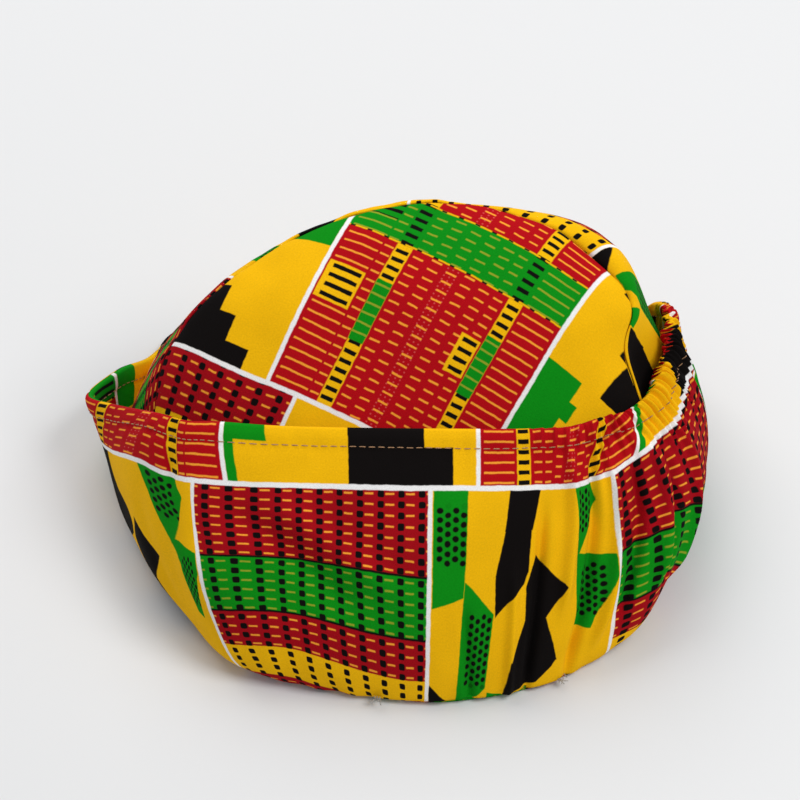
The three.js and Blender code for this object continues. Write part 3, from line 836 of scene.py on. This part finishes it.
# One matt printed cotton. The ink is read at u and v, which wander a little. Its value is multiplied
# by 1 +- the slubs' and the broad noise's tones. The bump is sin(u) x sin(v) over the thread pitch,
# plus the slubs.
def printedCotton(name):
    material = bpy.data.materials.new(name)
    material.use_nodes = True
    tree = material.node_tree
    nodes, links = tree.nodes, tree.links
    sums = Sums(tree)
    place = nodes.new("ShaderNodeUVMap")
    place.uv_map = "cloth"
    wobble = clothNoise(tree, place.outputs[0], weave["wobbleScale"], 2)
    parts = nodes.new("ShaderNodeSeparateXYZ")
    links.new(place.outputs[0], parts.inputs[0])
    drift = nodes.new("ShaderNodeSeparateColor")
    links.new(wobble.outputs["Color"], drift.inputs[0])
    u, v = (sums.do("ADD", parts.outputs[k], sums.do(
        "MULTIPLY_ADD", drift.outputs[k], weave["wobble"], -weave["wobble"] / 2)) for k in (0, 1))
    p = sums.do("FLOORED_MODULO", u, tile["width"])
    m = sums.do("FLOORED_MODULO", sums.do("ADD", u, tile["cellShift"]), tile["width"])
    q = sums.do("FLOORED_MODULO", v, tile["height"])
    d = sums.do("SUBTRACT", tile["height"], q)
    top, half, rowHalf, end = tile["blockTop"], tile["hemLine"], tile["rowLine"], tile["height"]
    lines = sums.among(q, [(-half, half), (top - rowHalf, top + rowHalf), (end - half, end + tile["past"])])
    ink = layInks(tree, plainRow(sums, p, q), [(cellRow(sums, m, d), sums.above(q, top)), ("white", lines)])

    # uneven dye: the cloth's pores and slubs show lighter and darker
    slub = clothNoise(tree, place.outputs[0], weave["slubScale"], 4)
    broad = clothNoise(tree, place.outputs[0], weave["broadScale"], 2)
    tone = nodes.new("ShaderNodeHueSaturation")
    links.new(ink, tone.inputs["Color"])
    slubTone = sums.do("MULTIPLY_ADD", slub.outputs["Fac"], weave["slubTone"], 1 - weave["slubTone"] / 2)
    broadTone = sums.do("MULTIPLY_ADD", broad.outputs["Fac"], weave["broadTone"], 1 - weave["broadTone"] / 2)
    links.new(sums.do("MULTIPLY", slubTone, broadTone), tone.inputs["Value"])
    shader = nodes["Principled BSDF"]
    links.new(tone.outputs[0], shader.inputs["Base Color"])
    shader.inputs["Roughness"].default_value = weave["roughness"]
    shader.inputs["Specular IOR Level"].default_value = weave["shine"]

    # plain weave: two sets of threads, with slubs, as bump
    turns = 2 * math.pi / weave["threadPitch"]
    warp, weft = (sums.do("SINE", sums.do("MULTIPLY", parts.outputs[k], turns)) for k in (0, 1))
    slubs = sums.do("MULTIPLY", slub.outputs["Fac"], weave["slubHeight"])
    height = sums.do("MULTIPLY_ADD", sums.do("MULTIPLY", warp, weft), weave["threadHeight"], slubs)
    bump = nodes.new("ShaderNodeBump")
    bump.inputs["Strength"].default_value = weave["relief"]
    bump.inputs["Distance"].default_value = weave["depth"]
    links.new(height, bump.inputs["Height"])
    links.new(bump.outputs[0], shader.inputs["Normal"])
    return material


cotton = printedCotton("printedCotton")
print("cotton ready")

# Where the print falls on the bands: share of the way round, step at the rim, step at the row line,
# step lower down, and step up the cloth at the rim. The steps run closer where the elastic draws in.
outerPlaces = np.array([
    [0.3, -700, -700, -735, 60], [0.5, -262, -250, -285, 60], [0.54, -192, -180, -215, 60],
    [0.571, -145, -130, -179, 60], [0.594, -112, -108, -156, 60], [0.605, -98, -99, -136, 60],
    [0.62, -70, -86, -111, 60], [0.637, -44, -66, -97, 60], [0.651, -24, -46, -88, 60],
    [0.661, -10, -29, -33, 60], [0.675, 14, 0, 0, 60],
    [0.735, 124, 124, 124, 60], [0.779, 209, 209, 209, 60], [0.805, 253, 253, 253, 60],
    [0.823, 292, 290, 288, 60], [0.8395, 326, 322, 320, 60], [0.857, 362, 380, 362, 61],
    [0.873, 392, 426, 426, 59], [0.886, 416, 456, 456, 58], [0.905, 448, 487, 487, 50],
    [0.925, 478, 526, 522, 42], [0.965, 534, 592, 585, 37], [1.0, 580, 648, 640, 35],
    [1.04, 640, 715, 705, 36], [1.1, 745, 815, 805, 45], [1.3, 1090, 1160, 1150, 60],
])
liningPlaces = np.array([
    [-0.25, 888, 888, 888, 60], [0.0, 453, 453, 453, 60], [0.14, 209, 209, 209, 60], [0.3, -99, -99, -99, 70],
    [0.45, -388, -388, -388, 95], [0.498, -480, -480, -480, 95], [0.56, -590, -590, -590, 90],
    [0.75, -920, -920, -920, 60],
])
# How the cloth is pulled askew: places are shares of the way round, depths shares of the way down
hang = {
    "rowLine": 0.2,              # depth of the row line
    "lower": 0.5,                # depth from which the lower steps hold
    "lean": 0.02,                # of the way round, at the lower edge
    "leanPlaces": ((0.84, 0.9), (0.95, 1.05)),      # rises over the first, falls over the second
    "leanFrom": 0.3,             # depth
    "leanBend": 1.3,
    "slant": 55,                 # steps more for the whole way down
    "slantPlaces": ((0.6, 0.65), (0.67, 0.77)),
    "slantFrom": 0.22,
    "drag": 4,                   # steps of noise
    "dragDepths": (0.3, 0.5),
    "dragCount": 17,
}


# u and v from the table at the share round: from the rim's steps to the row line's, then smoothly on
# to the lower steps. The lean moves the place read by lean x depth^leanBend, the slant lowers v by
# slant x depth, and both have drag x noise added.
def bandUV(places):
    def place(at, shares):
        leanUp, leanDown = (smoothStep(*ends, at) for ends in hang["leanPlaces"])
        lean = hang["lean"] * leanUp * (1 - leanDown)
        depth = np.clip(shares - hang["leanFrom"], 0, 1) / (1 - hang["leanFrom"])
        at = at - lean * depth ** hang["leanBend"]
        rim, rowLine, lower, rimUp = (np.interp(at, places[:, 0], places[:, k]) for k in range(1, 5))
        upper = rim + (rowLine - rim) * np.clip(shares / hang["rowLine"], 0, 1)
        u = upper + (lower - rowLine) * smoothStep(hang["rowLine"], hang["lower"], shares)
        slantUp, slantDown = (smoothStep(*ends, at) for ends in hang["slantPlaces"])
        slant = hang["slant"] * (1 - slantDown) * slantUp
        v = rimUp - shares * cap["bandHeight"] / printStep - slant * np.clip(shares - hang["slantFrom"], 0, 1)
        drag, count = hang["drag"] * smoothStep(*hang["dragDepths"], shares), hang["dragCount"]
        u = u + drag * softNoise(at * count + shares, shares * 2.4, 71, count)
        v = v + drag * softNoise(at * count - shares, shares * 1.6 + 3, 72, count)
        return np.stack(np.broadcast_arrays(u, v), -1)
    return place


crownPrint = {
    "x": -57.2, "y": 17.1,    # a corner of the print in plan, mm
    "u": 480, "v": 300,
    "turn": 26.6,             # degrees
    "twist": 0.036,           # degrees more for each mm along
    "stretch": 0.99,
    "fan": 0.00022,           # widening of the blocks up the slope
    "sag": 0.021,             # bends the rows up beyond the corner
}


# Steps X in plan and L along the slope from the corner, turned half round and by the turn: u less
# stretch x (cos X - sin L), and v less (sin X + cos L), plus sag x (mm beyond the corner)^2
def crownUV(x, y):
    turn = np.radians(crownPrint["turn"] + crownPrint["twist"] * x)
    stepX = (x - crownPrint["x"]) / printStep
    stepL = (slopeLength(y / halfWidth) - slopeLength(crownPrint["y"] / halfWidth)) / printStep
    stretch = crownPrint["stretch"] * (1 - crownPrint["fan"] * stepL)
    u = crownPrint["u"] - stretch * (np.cos(turn) * stepX - np.sin(turn) * stepL)
    v = crownPrint["v"] - np.sin(turn) * stepX - np.cos(turn) * stepL
    return np.stack([u, v + crownPrint["sag"] * np.minimum(x - crownPrint["x"], 0) ** 2], -1)


outerBand = bandLayer("outerBandCloth", 1, cotton, bandUV(outerPlaces))
liningBand = bandLayer("liningBandCloth", -1, cotton, bandUV(liningPlaces))
outerCrown = crownLayer("outerCrownCloth", 1, cotton, crownUV)
liningCrown = crownLayer("liningCrownCloth", -1, cotton, crownUV)
print("cloth laid")


# Place and outward direction on a band's face at shares round and down: the four points about it,
# weighted by (1 - f) or f along and (1 - g) or g down
def onBand(side, at, share):
    places, rows, face, normal = bandFaces[side]
    column = ((at - places[0]) % 1) * len(places)
    i = np.floor(column).astype(int) % len(places)
    f = (column - np.floor(column))[..., None]
    j = np.clip(np.searchsorted(rows, share, side="right") - 1, 0, len(rows) - 2)
    g = np.clip((share - rows[j]) / (rows[j + 1] - rows[j]), 0, 1)[..., None]
    read = lambda grid: (
        (grid[i, j] * (1 - f) + grid[(i + 1) % len(places), j] * f) * (1 - g)
        + (grid[i, j + 1] * (1 - f) + grid[(i + 1) % len(places), j + 1] * f) * g)
    return read(face), unit(read(normal))


threadSides = 6


# Round threads along paths (threads x stations x 3): a ring at each station, with radius x
# sqrt(1.03 - s^4) for s from -1 to 1 along the thread, and two quads over each end
def threadMesh(name, paths, ups, radius, material):
    count, stations = paths.shape[:2]
    along = unit(np.gradient(paths, axis=1))
    sideways = unit(np.cross(along, ups))
    upward = np.cross(sideways, along)
    s = np.linspace(-1, 1, stations)
    size = (radius * np.sqrt(1.03 - s ** 4))[None, :, None, None]
    ring = (np.arange(threadSides) * math.pi / (threadSides / 2))[None, None, :, None]
    spokes = np.cos(ring) * sideways[:, :, None] + np.sin(ring) * upward[:, :, None]
    points = paths[:, :, None] + size * spokes
    first = (np.arange(count) * stations * threadSides)[:, None, None]
    k = np.arange(threadSides)[None, None]
    after = (k + 1) % threadSides
    near = first + np.arange(stations - 1)[None, :, None] * threadSides
    far = near + threadSides
    sides = np.stack([near + k, near + after, far + after, far + k], -1)
    ends = np.array([[0, 3, 2, 1], [0, 5, 4, 3]])    # two quads close the six points
    low = first + ends[None]
    high = first + (stations - 1) * threadSides + ends[None, :, ::-1]
    quads = np.concatenate([sides.reshape(-1, 4), low.reshape(-1, 4), high.reshape(-1, 4)])
    uv = np.stack([quads % threadSides, quads // threadSides % stations], -1).astype(float)
    return pourMesh(name, points.reshape(-1, 3), quads, uv, material)


# Matt spun thread, lighter and darker with fine noise
def threadCotton(name, colour):
    material = bpy.data.materials.new(name)
    material.use_nodes = True
    tree = material.node_tree
    shader = tree.nodes["Principled BSDF"]
    place = tree.nodes.new("ShaderNodeTexCoord")
    fibre = tree.nodes.new("ShaderNodeTexNoise")
    fibre.inputs["Scale"].default_value = sewing["fibres"]
    tree.links.new(place.outputs["Object"], fibre.inputs["Vector"])
    tone = tree.nodes.new("ShaderNodeHueSaturation")
    tone.inputs["Color"].default_value = colour
    tree.links.new(fibre.outputs["Fac"], tone.inputs["Value"])
    tree.links.new(tone.outputs[0], shader.inputs["Base Color"])
    shader.inputs["Roughness"].default_value = sewing["roughness"]
    return material


sewing = {
    "colour": (0.78, 0.42, 0.2, 1),
    "looseColour": (0.75, 0.7, 0.62, 1),
    "roughness": 0.7,
    "fibres": 1800,      # to a metre, about
    "stitch": 2.5,       # mm
    "pitch": 3.2,        # mm
    "radius": 0.19,      # mm
    "lift": 0.16,        # mm the middle of a stitch stands over the cloth
    "sunk": 0.3,         # share of its radius
    "wander": 0.0016,    # share of the band's height
    "wanderCount": 60,
}


# Topstitching: stitches along the rim at the hem's depth, plus wander x noise, each lifted by
# lift x (1 - s^2) - sunk x radius for s from -1 to 1 along it
def topstitching(side):
    count = int(cap["clothRound"] / sewing["pitch"])
    s = np.linspace(-1, 1, 7)
    at = (np.arange(count)[:, None] + 0.5 * s[None] * sewing["stitch"] / sewing["pitch"]) / count
    count = sewing["wanderCount"]
    wander = sewing["wander"] * softNoise(at * count, 0 * at, 51, count)
    path, up = onBand(side, at, cap["hemDepth"] / cap["bandHeight"] + wander)
    lift = sewing["lift"] * (1 - s ** 2) - sewing["sunk"] * sewing["radius"]
    return path + up * lift[None, :, None], up


stitchPaths, stitchUps = (np.concatenate(both) for both in zip(*[topstitching(side) for side in (1, -1)]))
sewingThread = threadCotton("sewingThread", sewing["colour"])
threadMesh("topStitching", stitchPaths, stitchUps, sewing["radius"], sewingThread)

# Frayed ends: loose threads that leave the crown seam and curl
frays = {
    "places": [0.745, 0.872],     # shares of the way round
    "spread": 0.003,              # to either side of a place
    "depth": 0.985,               # share of the way down the band
    "threads": 7,
    "length": 5.0,                # mm, of the longest
    "shortest": 0.5,              # share of that
    "radius": 0.19,               # mm
    "outward": 0.8,
    "curl": 0.7,
    "drop": (-0.5, 0.3),
    "clearance": 0.4,             # mm, from a thread's middle to the table
    "seed": 61,
}


# Each thread starts at the seam: start + length x (s x (outward + drop x down) + curl x s^2 x
# sideways) for s from 0 to 1, held over the table
def looseThreads():
    pick = np.random.default_rng(frays["seed"])
    s = np.linspace(0, 1, 11)[None, :, None]
    each = (frays["threads"], 1, 1)
    paths, ups = [], []
    for place in frays["places"]:
        at = place + pick.uniform(-frays["spread"], frays["spread"], frays["threads"])
        share = np.full(frays["threads"], frays["depth"])
        start, out = onBand(1, at, share)
        beside, _ = onBand(1, at + 0.004, share)
        sideways = unit(beside - start)[:, None]
        down = np.cross(sideways, out[:, None])
        curl = pick.uniform(-frays["curl"], frays["curl"], each)
        drop = pick.uniform(*frays["drop"], each)
        length = frays["length"] * pick.uniform(frays["shortest"], 1, each)
        straight = s * (frays["outward"] * out[:, None] + drop * down)
        path = start[:, None] + length * (straight + curl * s ** 2 * sideways)
        path[..., 2] = np.maximum(path[..., 2], frays["clearance"] - cap["shift"][2])
        paths.append(path)
        ups.append(np.broadcast_to(down, path.shape))
    return np.concatenate(paths), np.concatenate(ups)


looseCotton = threadCotton("looseCotton", sewing["looseColour"])
threadMesh("looseThreads", *looseThreads(), frays["radius"], looseCotton)
print("sewing done")

pieces = {
    "outer_band": outerBand,
    "lining_band": liningBand,
    "outer_crown": outerCrown,
    "lining_crown": liningCrown,
}
for node, obj in pieces.items():
    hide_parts(node)
print("cap made")

# Floor, light and camera, in metres
room = {
    "floor": (0.74, 0.74, 0.74, 1),
    "floorRoughness": 0.9,
    "floorHalf": 4,
    "sky": (0.95, 0.97, 1.0, 1),
    "skyStrength": 0.43,
}
side = room["floorHalf"]
floorMesh = bpy.data.meshes.new("floor")
corners = [(-side, -side, 0), (side, -side, 0), (side, side, 0), (-side, side, 0)]
floorMesh.from_pydata(corners, [], [(0, 1, 2, 3)])
floorObj = bpy.data.objects.new("floor", floorMesh)
bpy.context.scene.collection.objects.link(floorObj)
floorFinish = bpy.data.materials.new("floorFinish")
floorFinish.use_nodes = True
floorShader = floorFinish.node_tree.nodes["Principled BSDF"]
floorShader.inputs["Base Color"].default_value = room["floor"]
floorShader.inputs["Roughness"].default_value = room["floorRoughness"]
floorMesh.materials.append(floorFinish)
floorObj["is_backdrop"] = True

world = bpy.data.worlds.new("room")
bpy.context.scene.world = world
world.use_nodes = True
world.node_tree.nodes["Background"].inputs[0].default_value = room["sky"]
world.node_tree.nodes["Background"].inputs[1].default_value = room["skyStrength"]

lamps = {
    "window": {"place": (0.75, -0.25, 1.15), "size": 0.6, "watts": 9},
    "fill": {"place": (-0.5, 1.1, 1.4), "size": 1.6, "watts": 21},
}
lampAim = Vector((0, 0, 0.04))
for lampName, lamp in lamps.items():
    data = bpy.data.lights.new(lampName, "AREA")
    data.size = lamp["size"]
    data.energy = lamp["watts"]
    lampObj = bpy.data.objects.new(lampName, data)
    lampObj.location = lamp["place"]
    lampObj.rotation_euler = (lampAim - Vector(lamp["place"])).to_track_quat("-Z", "Y").to_euler()
    bpy.context.scene.collection.objects.link(lampObj)

shot = {
    "elevation": 48,                       # degrees
    "distance": 0.9,
    "aim": (0.00156, 0.00787, 0.04928),
    "lens": 113.4,                         # mm, as is the sensor
    "sensor": 36,
}
camera = bpy.data.cameras.new("camera")
camera.lens = shot["lens"]
camera.sensor_width = shot["sensor"]
cameraObj = bpy.data.objects.new("camera", camera)
rise = math.radians(shot["elevation"])
aim = Vector(shot["aim"])
cameraObj.location = aim + shot["distance"] * Vector((0, -math.cos(rise), math.sin(rise)))
cameraObj.rotation_euler = (aim - cameraObj.location).to_track_quat("-Z", "Y").to_euler()
bpy.context.scene.collection.objects.link(cameraObj)
bpy.context.scene.camera = cameraObj

bpy.context.scene.view_settings.view_transform = "Standard"
bpy.context.scene.view_settings.look = "None"

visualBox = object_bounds()
cadShown, visualShown = ([[round(v, 4) for v in corner] for corner in box] for box in (cadBox, visualBox))
print("cad box", cadShown, "visual box", visualShown)
